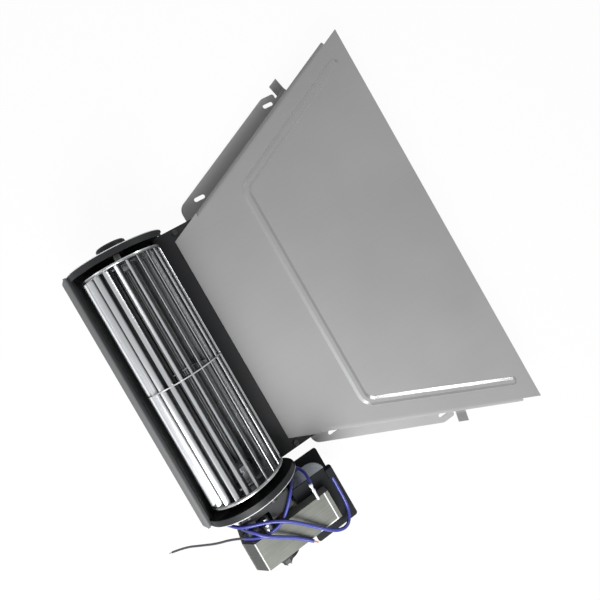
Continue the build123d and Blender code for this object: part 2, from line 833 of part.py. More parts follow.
# ------------------------------------------------------------------ fasteners of the motor
def core_screws():
    """Two long screws through both brackets, spacers and the stack; heads to the front."""
    end = core_end + bracket_sheet + nut_height + bolt_overhang
    screws = []
    for y, z in bolt_places():
        head = rod_x(bolt_head / 2, front_plate - bolt_head_height, front_plate, y, z)
        recess = rod_x(bolt_head / 5, front_plate - 2 * bolt_head_height, front_plate - bolt_head_height / 2, y, z)
        shank = rod_x(bolt_diameter / 2, front_plate, end, y, z)
        screws.append(head - recess + shank)
    return one_part(screws)


def core_nuts():
    start = core_end + bracket_sheet
    hexagon = RegularPolygon(nut_width / math.sqrt(3), 6) - Circle(bolt_diameter / 2 + seat)
    return one_part(round_axis(Pos(y, z) * hexagon, start, start + nut_height) for y, z in bolt_places())


def core_spacers():
    """Tubes that keep the front bracket off the stack."""
    ring = Circle(spacer_diameter / 2) - Circle(bolt_diameter / 2 + seat)
    start = front_plate + bracket_sheet
    return one_part(round_axis(Pos(y, z) * ring, start, core_start) for y, z in bolt_places())


def bracket_screws():
    """Short screws through the ears into the end plate."""
    face = half_housing + bracket_sheet
    screws = []
    for y, z in ear_screw_places():
        head = rod_x(ear_screw_head / 2, face, face + ear_screw_head_height, y, z)
        recess = rod_x(ear_screw_head / 5, face + ear_screw_head_height / 2, face + 2 * ear_screw_head_height, y, z)
        shank = rod_x(ear_screw_diameter / 2 - seat, face - ear_screw_length, face, y, z)
        screws.append(head - recess + shank)
    return one_part(screws)


# ------------------------------------------------------------------ rotor
def motor_shaft():
    """Shaft from inside the drive hub to the rear bearing, with broken ends."""
    end = rear_face + bearing_cup_depth - bracket_sheet / 2
    point = shaft_radius / 6
    return turned(
        (hub_start, 0),
        (hub_start, shaft_radius - point),
        (hub_start + point, shaft_radius),
        (end - point, shaft_radius),
        (end, shaft_radius - point),
        (end, 0),
    )


def rotor_core():
    bore = shaft_radius + seat
    return turned((core_start, bore), (core_start, rotor_radius), (core_end, rotor_radius), (core_end, bore))


def rotor_rings():
    """End rings of the squirrel cage."""
    bore = shaft_radius * 2
    rings = []
    for start in (core_start - end_ring_length, core_end):
        end = start + end_ring_length
        rings.append(turned((start, bore), (start, end_ring_radius), (end, end_ring_radius), (end, bore)))
    return one_part(rings)


def thrust_washers():
    """Washers between the rotor and its two bearings, and the collars that fill the rest."""
    bore = shaft_radius + seat
    spans = [
        (front_plate + bracket_sheet + washer_play, core_start - seat),
        (core_end + seat, rear_plate - washer_play),
    ]
    return one_part(
        turned((start, bore), (start, washer_radius), (end, washer_radius), (end, bore)) for start, end in spans
    )


# ------------------------------------------------------------------ leads
def lead(points, diameter, name):
    """Round lead along straight runs and tangent arcs; prints its smallest bend."""
    corners = [Vector(core_start + x, y, axis_height + z) for x, y, z in points]
    runs = [b - a for a, b in zip(corners, corners[1:])]
    radii = []
    for before, after in zip(runs, runs[1:]):
        turn = math.radians(before.get_angle(after))
        radii.append(lead_bend_share * min(before.length, after.length) / math.tan(turn / 2))
    path = FilletPolyline(*corners, radius=radii)
    print(name, "bend radii", [round(r, 1) for r in radii])
    start = Plane(origin=path @ 0, z_dir=path % 0)
    tube = sweep(start * Circle(diameter / 2), path=path)
    print(name, "length", round(path.length, 1), "volume over section", round(4 * tube.volume / math.pi / diameter**2, 1))
    return tube


# ------------------------------------------------------------------ sub-parts
end_disc_shape = end_disc(disc_bore)
motor_ring = blade_ring(disc_thickness / 2, blade_reach)
front_bush_end = front_plate + bracket_sheet

parts = {
    "far_blades": mirror_x(motor_ring),
    "motor_blades": motor_ring,
    "far_disc": mirror_x(end_disc_shape),
    "mid_disc": mid_disc(),
    "motor_disc": end_disc_shape,
    "stub_shaft": stub_shaft(),
    "drive_hub": drive_hub(),
    "hub_screw": hub_screw(),
    "motor_shaft": motor_shaft(),
    "rotor_core": rotor_core(),
    "rotor_rings": rotor_rings(),
    "thrust_washers": thrust_washers(),
    "fan_housing": fan_housing(),
    "tongue_plate": tongue_plate(),
    "housing_rivets": housing_rivets(),
    "far_end_plate": far_end_plate(),
    "motor_end_plate": motor_end_plate(),
    "bearing_grommet": bearing_grommet(),
    "far_bearing": mirror_x(bush(cup_bottom - bush_length, cup_bottom - seat, grommet_bore / 2 - seat)),
    "diffuser_duct": diffuser_duct(),
    "stator_core": stator_core(),
    "coil_core": coil_core(),
    "coil_bobbin": coil_bobbin(),
    "coil_winding": coil_winding(),
    "shading_rings": shading_rings(),
    "motor_bracket": motor_bracket(),
    "front_bearing": bush(front_bush_end - bearing_length, front_bush_end, bearing_cup - bracket_sheet - seat),
    "rear_bracket": rear_bracket(),
    "rear_bearing": bush(rear_plate, rear_plate + bearing_length, bearing_cup - bracket_sheet - seat),
    "core_screws": core_screws(),
    "core_nuts": core_nuts(),
    "core_spacers": core_spacers(),
    "bracket_screws": bracket_screws(),
    "lead_supply": lead(supply_route, lead_diameter, "lead_supply"),
    "lead_tap": lead(tap_route, lead_diameter, "lead_tap"),
    "lead_tail": lead(tail_route, tail_diameter, "lead_tail"),
    "lead_coil": lead(coil_route, lead_diameter, "lead_coil"),
    "lead_sleeve": lead(sleeve_route, sleeve_diameter, "lead_sleeve"),
}

os.makedirs("parts", exist_ok=True)
for name, shape in parts.items():
    export_step(shape, f"parts/{name}.step")
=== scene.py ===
"""Cross flow fan: finishes, leads, small detail pieces and a plain studio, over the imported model.

Laid out as an add-on: one operator for each group of pieces, one for the studio, and a sidebar
panel. MM turns millimetres into metres. The impeller axis runs along X, AXIS_HEIGHT over the panel.
"""

import json
import math

import bmesh
import bpy
from mathutils import Matrix, Vector


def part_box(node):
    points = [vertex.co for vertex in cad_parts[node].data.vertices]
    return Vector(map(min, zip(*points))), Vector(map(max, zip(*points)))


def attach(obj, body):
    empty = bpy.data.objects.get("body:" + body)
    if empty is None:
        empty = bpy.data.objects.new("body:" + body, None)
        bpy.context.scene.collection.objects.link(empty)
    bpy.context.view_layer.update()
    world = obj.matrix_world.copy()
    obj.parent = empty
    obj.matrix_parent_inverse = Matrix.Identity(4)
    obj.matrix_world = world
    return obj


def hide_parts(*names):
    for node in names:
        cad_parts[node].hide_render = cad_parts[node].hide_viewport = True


bl_info = {
    "name": "Cross flow fan dresser",
    "version": (1, 1, 0),
    "blender": (4, 5, 0),
    "location": "View3D > Sidebar > Fan",
    "description": "Dresses the packed cross flow fan and sets up its studio",
    "category": "Object",
}

MM = 0.001

# Kinds of node that are used most.
MATH = "ShaderNodeMath"
MAP_RANGE = "ShaderNodeMapRange"
MIX = "ShaderNodeMix"
COMBINE = "ShaderNodeCombineXYZ"
BUMP = "ShaderNodeBump"
CURVE_TO_MESH = "GeometryNodeCurveToMesh"
TRANSFORM = "GeometryNodeTransform"

WHITE = (1.0, 1.0, 1.0, 1.0)

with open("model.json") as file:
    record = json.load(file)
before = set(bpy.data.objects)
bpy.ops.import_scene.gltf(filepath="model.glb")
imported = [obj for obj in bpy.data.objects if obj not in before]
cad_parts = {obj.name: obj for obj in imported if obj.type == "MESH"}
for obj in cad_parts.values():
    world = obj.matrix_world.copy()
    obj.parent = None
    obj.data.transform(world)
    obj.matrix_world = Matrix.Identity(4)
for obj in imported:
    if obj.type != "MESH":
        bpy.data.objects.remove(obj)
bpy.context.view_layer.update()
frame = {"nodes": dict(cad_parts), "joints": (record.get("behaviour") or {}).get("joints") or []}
NODES = frame["nodes"]
AXIS_HEIGHT = frame["joints"][0]["pos_m"][2]


# Routes of the leads, from the impeller axis, in millimetres.
SUPPLY_ROUTE = [
    (118, 53, 15.6), (132, 53, 15.6), (145, 52, 16), (152, 45.5, 20.5), (146.5, 35, 26),
    (132, 22.5, 26.5), (120, 12, 28.5), (112, 0.5, 28.5), (107.5, -11, 27.6), (105, -19, 24),
    (103, -25, 14), (102.2, -30.5, 2.5), (102, -36, -8), (103.5, -39.5, -19.5), (106.5, -39.5, -31),
    (110, -33, -40), (112.5, -23.5, -41), (113.8, -17.5, -32), (113.2, -17.5, -19),
    (111.8, -18, -6.5), (110.5, -18.4, 6), (109, -18, 19.5), (112, -12, 27), (118, -7.5, 28.8),
    (125.5, 1.5, 27.5), (134, 11.5, 26), (142.5, 19, 25.5),
]
TAP_ROUTE = [
    (109.5, 30, -5), (103.5, 30, 1), (102.3, 27.8, 12), (104, 23, 25.7), (113, 14.8, 25.9),
    (119.8, 5, 25.7), (119.5, -6.5, 26), (117.8, -14, 22.5), (117.4, -20, 14),
]
TAIL_ROUTE = [
    (117.4, -20, 14), (117, -28, 4.5), (118.3, -40, -8), (118, -51.5, -21), (117.5, -64, -35),
    (119, -75.5, -45.5),
]
COIL_ROUTE = [
    (108, 34.5, -8), (104, 34.5, -3), (102.7, 36.5, 8), (104.5, 38, 20), (109, 36.5, 25.8),
]


# ------------------------------------------------------------------ colours
def shade(code):
    """Linear colour from an sRGB hex code."""
    channels = [int(code[k : k + 2], 16) / 255 for k in (0, 2, 4)]
    linear = [c / 12.92 if c <= 0.04045 else ((c + 0.055) / 1.055) ** 2.4 for c in channels]
    return (*linear, 1.0)


def colour(name, description, code):
    """Colour property with an sRGB default."""
    return bpy.props.FloatVectorProperty(
        name=name, description=description, size=3, min=0, max=1, default=shade(code)[:3], subtype="COLOR"
    )


def length(name, description, millimetres, least=0.01, most=1000.0):
    """Length property; the default is given in millimetres."""
    return bpy.props.FloatProperty(
        name=name, description=description, default=millimetres * MM, min=least * MM, max=most * MM,
        precision=5, unit="LENGTH", subtype="DISTANCE",
    )


class FanColours(bpy.types.PropertyGroup):
    """Colours of the finishes that a user would change."""

    duct: colour("Duct", "Coated sheet of the duct", "939393")
    paint: colour("Black paint", "Paint of the housing and the motor brackets", "191a1c")
    edge: colour("Bare edge", "Cut sheet edges where the paint is thin", "c9cbcc")
    strip: colour("Bright strip", "Rolled aluminium of the impeller", "b0b2b4")
    stack: colour("Stack", "Cut edges of the electrical steel", "5d5f59")
    zinc: colour("Zinc", "Zinc plated screws and spacers", "b9bcc0")
    # Also used for painted highlights on the end plate rims and the stack's edges, and for painted light
    # inside the scroll.
    steel: colour("Ground steel", "Shafts and hub", "a3a4a6")
    nylon: colour("Black nylon", "Coil bobbin", "101216")
    tape: colour("Coil tape", "Tape over the winding", "c6cdd3")
    lead: colour("Supply lead", "Insulation of the blue leads", "2e3484")
    tail: colour("Thin lead", "Insulation of the thin dark lead", "33353c")
    sleeve: colour("Sleeve", "Insulating sleeve and its ties", "c9ccd6")
    copper: colour("Copper", "Bare strands and shading rings", "b06a45")


class FanSizes(bpy.types.PropertyGroup):
    """Sizes of the leads and of the detail pieces."""

    lead_diameter: length("Lead diameter", "Outside diameter of the blue leads", 2.4, 1, 4)
    tail_diameter: length("Thin lead diameter", "Outside diameter of the thin lead", 1.6, 0.5, 3)
    strand_diameter: length("Strand", "One copper strand", 0.32, 0.05, 1)
    strand_length: length("Bare end", "Bare strands past the insulation", 4.0, 1, 20)
    strand_twist: bpy.props.FloatProperty(
        name="Strand twist", description="Turn of the strands over the bare end",
        default=math.radians(150), subtype="ANGLE", unit="ROTATION",
    )
    tab_width: length("Tab width", "Staked blade tab, along the blade", 3.4, 0.5, 6)
    tab_reach: length("Tab reach", "Folded part of a blade tab", 1.6, 0.3, 4)
    tab_thickness: length("Tab thickness", "Blade strip", 0.3, 0.1, 1)
    tape_width: length("Tape width", "Coil tape that shows in each turn", 4.2, 1, 20)
    tape_step: length("Tape step", "Step where one turn laps the next", 0.16, 0.02, 1)


# ------------------------------------------------------------------ node helpers
def add_node(tree, kind, inputs=None, **settings):
    """New node with its settings; each input is a value, a socket, or a node whose output it takes."""
    node = tree.nodes.new(kind)
    for name, value in settings.items():
        setattr(node, name, value)
    for key, value in (inputs or {}).items():
        named = [socket for place, socket in enumerate(node.inputs) if key in (place, socket.name)]
        socket = next((each for each in named if each.enabled), named[0])
        if isinstance(value, bpy.types.Node):
            value = next(each for each in value.outputs if each.enabled)
        if isinstance(value, bpy.types.NodeSocket):
            tree.links.new(value, socket)
        else:
            socket.default_value = value
    return node


def blank_material(name):
    """Material with an empty tree; returns both."""
    material = bpy.data.materials.new(name)
    material.use_nodes = True
    material.node_tree.nodes.clear()
    return material, material.node_tree


def surface_of(tree, channels):
    """End the tree in a Principled surface with these inputs."""
    surface = add_node(tree, "ShaderNodeBsdfPrincipled", channels)
    add_node(tree, "ShaderNodeOutputMaterial", {"Surface": surface})


def millimetres(tree, stretch=(1, 1, 1)):
    """Object coordinates in millimetres, stretched along each axis."""
    place = add_node(tree, "ShaderNodeTexCoord").outputs["Object"]
    scale = [share / MM for share in stretch]
    return add_node(tree, "ShaderNodeMapping", {"Vector": place, "Scale": scale})


def axes(tree):
    """X, Y and height over the panel, in millimetres."""
    return add_node(tree, "ShaderNodeSeparateXYZ", {0: millimetres(tree)}).outputs


def off_axis(tree):
    """Distance from the impeller axis, in millimetres."""
    _, y, height = axes(tree)
    rise = add_node(tree, MATH, {0: height, 1: AXIS_HEIGHT / MM}, operation="SUBTRACT")
    arm = add_node(tree, COMBINE, {1: y, 2: rise})
    return add_node(tree, "ShaderNodeVectorMath", {0: arm}, operation="LENGTH").outputs["Value"]


def grain(tree, scale, detail=4.0, stretch=(1, 1, 1)):
    """Noise pattern on the object, with features of about 1/scale millimetres."""
    inputs = {"Vector": millimetres(tree, stretch), "Scale": scale, "Detail": detail}
    return add_node(tree, "ShaderNodeTexNoise", inputs)


def tone(tree, value, base, dark, light):
    """Base colour, darkened and lightened by factors along the middle of a 0 to 1 value."""
    low, high = [(*(min(1.0, channel * factor) for channel in base), 1.0) for factor in (dark, light)]
    share = add_node(tree, MAP_RANGE, {"Value": value, "From Min": 0.3, "From Max": 0.7})
    return add_node(tree, MIX, {"Factor": share, "A": low, "B": high}, data_type="RGBA")


def band(tree, value, low, high, soft=0.15):
    """1 where a value, mostly in millimetres, lies between two others, with soft ends."""
    ends = []
    for edge, before, after in ((low, 0.0, 1.0), (high, 1.0, 0.0)):
        inputs = {
            "Value": value, "From Min": edge - soft, "From Max": edge + soft,
            "To Min": before, "To Max": after,
        }
        ends.append(add_node(tree, MAP_RANGE, inputs, interpolation_type="SMOOTHSTEP"))
    return add_node(tree, MATH, {0: ends[0], 1: ends[1]}, operation="MULTIPLY")


def span(name):
    """Lowest and highest corners of a CAD node, in millimetres."""
    return [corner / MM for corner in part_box(name)]


# ------------------------------------------------------------------ materials
def coated_sheet(base):
    """Satin coated sheet steel: soft cloudy grey under a fine grain, with a painted highlight as metal shine
    on the slopes of the bead's two side runs, and painted light that makes the two flanges lighter."""
    material, tree = blank_material("satin_coated_sheet")
    bead_height = 1.4
    flange_top = 2.2
    flange_painted_light = 1.25
    cloud = grain(tree, 0.012, 2.0)
    rolled = grain(tree, 1.0, 3.0, (0.5, 0.02, 0.5))
    skin = add_node(tree, MIX, {"Factor": 0.2, "A": cloud, "B": rolled})
    height = axes(tree)[2]
    bead_top = span("diffuser_duct")[1].z
    raised = band(tree, height, bead_top - bead_height + 0.15, bead_top + 0.5, 0.1)
    # Painted highlight: metal shine only on the slopes of the bead's side runs, picked out by the normal.
    normal = add_node(tree, "ShaderNodeNewGeometry").outputs["Normal"]
    lean = add_node(tree, "ShaderNodeSeparateXYZ", {0: normal})
    sideways = add_node(tree, MATH, {0: lean}, operation="ABSOLUTE")
    leaning = band(tree, sideways, 0.25, 1.2, 0.12)
    painted_highlight_slope = add_node(tree, MATH, {0: raised, 1: leaning}, operation="MULTIPLY")
    # Painted light: the flanges are lightened by a gain, to lift the shade that falls on them beside the
    # duct's walls.
    flange = band(tree, height, -1.0, flange_top, 0.3)
    plain = tone(tree, skin, base, 0.95, 1.05)
    light = tone(tree, skin, [flange_painted_light * channel for channel in base], 0.95, 1.05)
    satin = add_node(tree, MAP_RANGE, {"Value": grain(tree, 0.15, 5.0), "To Min": 0.36, "To Max": 0.42})
    fine = grain(tree, 2.2, 3.0)
    surface_of(tree, {
        "Base Color": add_node(tree, MIX, {"Factor": flange, "A": plain, "B": light}, data_type="RGBA"),
        "Metallic": add_node(tree, MATH, {0: painted_highlight_slope, 1: 0.9}, operation="MULTIPLY"),
        "Roughness": add_node(tree, MATH, {0: painted_highlight_slope, 1: -0.14, 2: satin}, operation="MULTIPLY_ADD"),
        "Specular IOR Level": 0.3,
        "Normal": add_node(tree, BUMP, {"Height": fine, "Distance": 0.02 * MM, "Strength": 0.3}),
    })
    return material


def stoved_paint(base, edge):
    """Black stoved paint: even semi-matt black, with bright lines on the rims of the end plates, bare edge
    and painted highlight together, a greyer lip, and painted light that lightens the inside of the scroll."""
    material, tree = blank_material("black_stoved_paint")
    x, y, height = axes(tree)
    plate_high = span("motor_end_plate")[1]
    housing_low, housing_high = span("fan_housing")
    rim_radius = plate_high.z - AXIS_HEIGHT / MM
    scroll_start = housing_low.y + 4.5
    # Bright rim line on the end plates: bare cut edge, and painted highlight along the bend.
    out = add_node(tree, MATH, {0: x}, operation="ABSOLUTE")
    outer = band(tree, out, plate_high.x - 0.5, plate_high.x + 0.3, 0.1)
    arc = band(tree, off_axis(tree), rim_radius - 0.7, rim_radius + 1.0, 0.2)
    rim = add_node(tree, MATH, {0: outer, 1: arc}, operation="MULTIPLY")
    patchy = add_node(tree, MAP_RANGE, {"Value": grain(tree, 0.3, 3.0), "To Min": 0.6, "To Max": 1.2})
    rim_bare_and_highlight = add_node(tree, MATH, {0: rim, 1: patchy}, operation="MULTIPLY")
    # The lip is mixed a little towards grey; inside the scroll the same grey is painted light over its shade.
    on_lip = band(tree, y, housing_low.y - 2.1, scroll_start - 0.2, 1.0)
    lip = add_node(tree, MATH, {0: on_lip, 1: 0.2}, operation="MULTIPLY")
    in_scroll = add_node(
        tree, MATH,
        {
            0: band(tree, y, scroll_start + 0.2, -20.0, 0.4),
            1: band(tree, height, 2.0, housing_high.z - 0.7, 0.4),
        },
        operation="MULTIPLY",
    )
    scroll = add_node(tree, MATH, {0: in_scroll, 1: 0.1}, operation="MULTIPLY")
    lip_and_scroll_lift = add_node(tree, MATH, {0: lip, 1: scroll}, operation="MAXIMUM")
    # Share of the light grey edge colour: rim lines with their painted highlight, the lip, and the painted
    # light inside the scroll.
    bare = add_node(tree, MATH, {0: rim_bare_and_highlight, 1: lip_and_scroll_lift}, operation="MAXIMUM", use_clamp=True)
    metal = (*edge, 1.0)
    painted = tone(tree, grain(tree, 0.05), base, 0.8, 1.2)
    handled, fine = grain(tree, 0.3, 6.0), grain(tree, 1.5, 3.0)
    surface_of(tree, {
        "Base Color": add_node(tree, MIX, {"Factor": bare, "A": painted, "B": metal}, data_type="RGBA"),
        "Roughness": add_node(tree, MAP_RANGE, {"Value": handled, "To Min": 0.42, "To Max": 0.55}),
        "Specular IOR Level": 0.22,
        "Normal": add_node(tree, BUMP, {"Height": fine, "Distance": 0.03 * MM, "Strength": 0.3}),
    })
    return material


def black_oxide(base):
    """Oiled black oxide on small screws and rivets: dark, with a weak metal gleam."""
    material, tree = blank_material("oiled_black_oxide")
    skin, fine = grain(tree, 0.8), grain(tree, 3.0, 3.0)
    surface_of(tree, {
        "Base Color": tone(tree, skin, base, 0.7, 1.3),
        "Metallic": 0.6,
        "Roughness": add_node(tree, MAP_RANGE, {"Value": skin, "To Min": 0.38, "To Max": 0.5}),
        "Normal": add_node(tree, BUMP, {"Height": fine, "Distance": 0.01 * MM, "Strength": 0.4}),
    })
    return material


def rolled_strip(name, base, stretch, rough, lit_share):
    """Bright rolled aluminium: long fine streaks along the rolling direction, and painted shade that darkens
    it towards grey away from the places that the given mask marks as lit."""
    material, tree = blank_material(name)
    streaks = grain(tree, 1.0, 3.0, stretch)
    bright = tone(tree, streaks, base, 0.86, 1.1)
    # Painted shade: a darker copy of the strip where the blades and discs lie in each other's shade.
    dull = tone(tree, streaks, [0.5 * channel for channel in base], 0.8, 1.2)
    surface_of(tree, {
        "Base Color": add_node(tree, MIX, {"Factor": lit_share(tree), "A": dull, "B": bright}, data_type="RGBA"),
        "Metallic": 1.0,
        "Roughness": add_node(tree, MAP_RANGE, {"Value": streaks, "To Min": rough, "To Max": rough + 0.08}),
        "Normal": add_node(tree, BUMP, {"Height": streaks, "Distance": 0.004 * MM, "Strength": 0.25}),
    })
    return material


def lit_blade_tips(tree):
    """1 on the outer part of the blades, left bright; inwards the blades get painted shade."""
    disc_radius = span("motor_disc")[1].y
    return band(tree, off_axis(tree), disc_radius - 2.8, disc_radius + 10.0, 1.3)


def lit_disc_edges(tree):
    """1 on the outer edges of the impeller discs, left bright; the rest of the discs gets painted shade."""
    disc_high = span("motor_disc")[1]
    disc_radius = disc_high.y
    out = add_node(tree, MATH, {0: axes(tree)[0]}, operation="ABSOLUTE")
    ends = band(tree, out, disc_high.x - 0.7, disc_high.x + 1.0, 0.1)
    middle = band(tree, out, -1.0, 1.0, 0.1)
    discs = add_node(tree, MATH, {0: ends, 1: middle}, operation="MAXIMUM")
    edges = band(tree, off_axis(tree), disc_radius - 2.0, disc_radius + 1.0, 0.3)
    return add_node(tree, MATH, {0: discs, 1: edges}, operation="MULTIPLY")


def stack_edges(base, edge, shadow):
    """Cut edges of stacked electrical steel: fine grey lines along each sheet, dull patches where
    the stack was dressed, painted shade on the chamfer, and painted highlights as bright lines along its
    upper edges."""
    material, tree = blank_material("electrical_steel_stack")
    x, y, height = axes(tree)
    low, high = span("stator_core")
    chamfer_run = 8.0
    ridge = low.y + chamfer_run
    bobbin_edge = 41.4
    # Sheets are 0.5 mm; they are drawn as coarse as 1 mm so that they show.
    sheets = grain(tree, 1.0, 2.0, (1.1, 0.03, 0.03))
    skin = add_node(tree, MIX, {"Factor": 0.35, "A": sheets, "B": grain(tree, 0.12, 5.0)})
    front = band(tree, y, ridge - 1.1, ridge + 0.3, 0.15)
    back = band(tree, y, bobbin_edge - 0.4, bobbin_edge + 0.4, 0.15)
    far_half = band(tree, y, 27.0, 42.0, 1.0)
    last_sheet = band(tree, x, high.x - 0.8, high.x + 0.5, 0.1)
    side = add_node(tree, MATH, {0: last_sheet, 1: far_half}, operation="MULTIPLY")
    across = add_node(tree, MATH, {0: front, 1: back}, operation="MAXIMUM")
    lines = add_node(tree, MATH, {0: side, 1: across}, operation="MAXIMUM")
    # Painted highlights: bright lines along the upper edges of the stack.
    top = band(tree, height, high.z - 0.7, high.z + 1.0, 0.2)
    painted_edge_highlight = add_node(tree, MATH, {0: top, 1: lines}, operation="MULTIPLY")
    # Painted shade on the chamfer.
    chamfer = band(tree, y, low.y + 0.9, ridge - 0.9, 0.3)
    shaded = add_node(tree, MATH, {0: chamfer, 1: 0.7}, operation="MULTIPLY")
    grey = tone(tree, skin, base, 0.72, 1.25)
    steel = add_node(tree, MIX, {"Factor": shaded, "A": grey, "B": shadow}, data_type="RGBA")
    surface_of(tree, {
        "Base Color": add_node(tree, MIX, {"Factor": painted_edge_highlight, "A": steel, "B": (*edge, 1.0)}, data_type="RGBA"),
        "Metallic": 0.25,
        "Roughness": add_node(tree, MAP_RANGE, {"Value": sheets, "To Min": 0.6, "To Max": 0.7}),
        "Normal": add_node(tree, BUMP, {"Height": sheets, "Distance": 0.08 * MM, "Strength": 0.4}),
    })
    return material


def plain_metal(name, base, rough, scale):
    """Turned, plated, cast or drawn metal: slight tone variation and a fine tool grain."""
    material, tree = blank_material(name)
    skin, fine = grain(tree, scale), grain(tree, scale * 4, 3.0)
    surface_of(tree, {
        "Base Color": tone(tree, skin, base, 0.82, 1.12),
        "Metallic": 1.0,
        "Roughness": add_node(tree, MAP_RANGE, {"Value": skin, "To Min": rough, "To Max": rough + 0.15}),
        "Normal": add_node(tree, BUMP, {"Height": fine, "Distance": 0.01 * MM, "Strength": 0.4}),
    })
    return material


def moulded(name, base, rough, scale, gloss=0.5):
    """Moulded or extruded plastic and rubber: even colour under a fine skin."""
    material, tree = blank_material(name)
    skin, fine = grain(tree, scale), grain(tree, scale * 4, 3.0)
    surface_of(tree, {
        "Base Color": tone(tree, skin, base, 0.88, 1.1),
        "Roughness": add_node(tree, MAP_RANGE, {"Value": skin, "To Min": rough, "To Max": rough + 0.12}),
        "Specular IOR Level": gloss,
        "Normal": add_node(tree, BUMP, {"Height": fine, "Distance": 0.02 * MM, "Strength": 0.4}),
    })
    return material


def woven_tape(base):
    """Woven glass tape over the coil: matt grey with a fine plain weave and varnish stains."""
    material, tree = blank_material("woven_coil_tape")
    # Threads of 0.4 mm, drawn at 0.8 mm so that they show.
    checks = add_node(tree, "ShaderNodeTexChecker", {"Vector": millimetres(tree), "Scale": 1 / 0.8})
    weave = checks.outputs["Fac"]
    stain = grain(tree, 0.15)
    stained = add_node(tree, MATH, {0: stain, 1: 0.8}, operation="MULTIPLY")
    skin = add_node(tree, MATH, {0: weave, 1: 0.15, 2: stained}, operation="MULTIPLY_ADD")
    surface_of(tree, {
        "Base Color": tone(tree, skin, base, 0.85, 1.12),
        "Roughness": add_node(tree, MAP_RANGE, {"Value": stain, "To Min": 0.5, "To Max": 0.65}),
        "Normal": add_node(tree, BUMP, {"Height": weave, "Distance": 0.03 * MM, "Strength": 0.4}),
    })
    return material


def seen_directly(tree):
    """1 for the rays of the camera, of reflections and of clear materials."""
    path = add_node(tree, "ShaderNodeLightPath").outputs
    either = add_node(tree, MATH, {0: path["Is Camera Ray"], 1: path["Is Glossy Ray"]}, operation="MAXIMUM")
    return add_node(tree, MATH, {0: either, 1: path["Is Transmission Ray"]}, operation="MAXIMUM")


def floor_white():
    """Pale painted floor: white to the camera and in reflections, and a plain pale surface that takes
    the part's shadow."""
    material, tree = blank_material("studio_white")
    pale = add_node(tree, "ShaderNodeBsdfDiffuse", {"Color": shade("f2f2f2")})
    glow = add_node(tree, "ShaderNodeEmission", {"Color": WHITE, "Strength": 1.0})
    share = add_node(tree, MATH, {0: seen_directly(tree), 1: 0.95}, operation="MULTIPLY")
    blend = add_node(tree, "ShaderNodeMixShader", {"Fac": share, 1: pale, 2: glow})
    add_node(tree, "ShaderNodeOutputMaterial", {"Surface": blend})
    return material


# ------------------------------------------------------------------ pieces
def dress(material, *nodes):
    """Give a material to CAD nodes."""
    for name in nodes:
        slots = NODES[name].data.materials
        slots.clear()
        slots.append(material)


def on_model(points):
    """Route points in metres, in the model's frame."""
    return [Vector((x * MM, y * MM, z * MM + AXIS_HEIGHT)) for x, y, z in points]


def new_piece(name, data, body):
    """Object of a mesh or curve that rides on a body."""
    piece = bpy.data.objects.new(name, data)
    bpy.context.collection.objects.link(piece)
    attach(piece, body)
    return piece


def lead_curve(name, route, diameter, material):
    """Round lead on one smooth NURBS curve."""
    data = bpy.data.curves.new(name, "CURVE")
    data.dimensions = "3D"
    data.bevel_depth = diameter / 2
    data.bevel_resolution = 5
    data.resolution_u = 10
    data.use_fill_caps = True
    spline = data.splines.new("NURBS")
    points = on_model(route)
    spline.points.add(len(points) - 1)
    for point, place in zip(spline.points, points):
        point.co = (*place, 1)
    spline.order_u = 3
    spline.use_endpoint_u = True
    data.materials.append(material)
    return new_piece(name, data, "frame")


def node_group(name, sockets):
    """Geometry node tree with named inputs, as (name, socket type, default)."""
    tree = bpy.data.node_groups.new(name, "GeometryNodeTree")
    tree.interface.new_socket("Geometry", in_out="INPUT", socket_type="NodeSocketGeometry")
    for label, kind, default in sockets:
        socket = tree.interface.new_socket(label, in_out="INPUT", socket_type=kind)
        if default is not None:
            socket.default_value = default
    tree.interface.new_socket("Geometry", in_out="OUTPUT", socket_type="NodeSocketGeometry")
    start = tree.nodes.new("NodeGroupInput")
    return tree, start.outputs


def close_group(tree, instances, material):
    """Realize the instances, give them their material and end the tree."""
    real = add_node(tree, "GeometryNodeRealizeInstances", {"Geometry": instances})
    dressed = add_node(tree, "GeometryNodeSetMaterial", {"Geometry": real, "Material": material})
    add_node(tree, "NodeGroupOutput", {"Geometry": dressed})


def ring_of(tree, piece, count, axis, phase=0.0, centre=(0, 0, 0)):
    """Copies of a piece turned in equal steps about an axis (0 for X, 2 for Z) through a centre."""
    spots = {"Count": count, "Start Location": centre, "Offset": (0, 0, 0)}
    points = add_node(tree, "GeometryNodeMeshLine", spots)
    step = add_node(tree, MATH, {0: math.tau, 1: count}, operation="DIVIDE")
    index = add_node(tree, "GeometryNodeInputIndex")
    angle = add_node(tree, MATH, {0: index, 1: step, 2: phase}, operation="MULTIPLY_ADD")
    turn = add_node(tree, COMBINE, {axis: angle})
    copies = {"Points": points, "Instance": piece, "Rotation": turn}
    return add_node(tree, "GeometryNodeInstanceOnPoints", copies)


def grown(name, tree, values, body):
    """Plain mesh piece made by a geometry node tree with these input values."""
    seed = bpy.data.objects.new(name + "_seed", bpy.data.meshes.new(name + "_seed"))
    bpy.context.collection.objects.link(seed)
    modifier = seed.modifiers.new("nodes", "NODES")
    modifier.node_group = tree
    for item in tree.interface.items_tree:
        if item.item_type == "SOCKET" and item.in_out == "INPUT" and item.name in values:
            modifier[item.identifier] = values[item.name]
    solved = seed.evaluated_get(bpy.context.evaluated_depsgraph_get())
    mesh = bpy.data.meshes.new_from_object(solved)
    mesh.name = name
    seed.modifiers.clear()
    bpy.data.objects.remove(seed)
    if not mesh.polygons:
        raise RuntimeError(name + " came out empty")
    return new_piece(name, mesh, body)


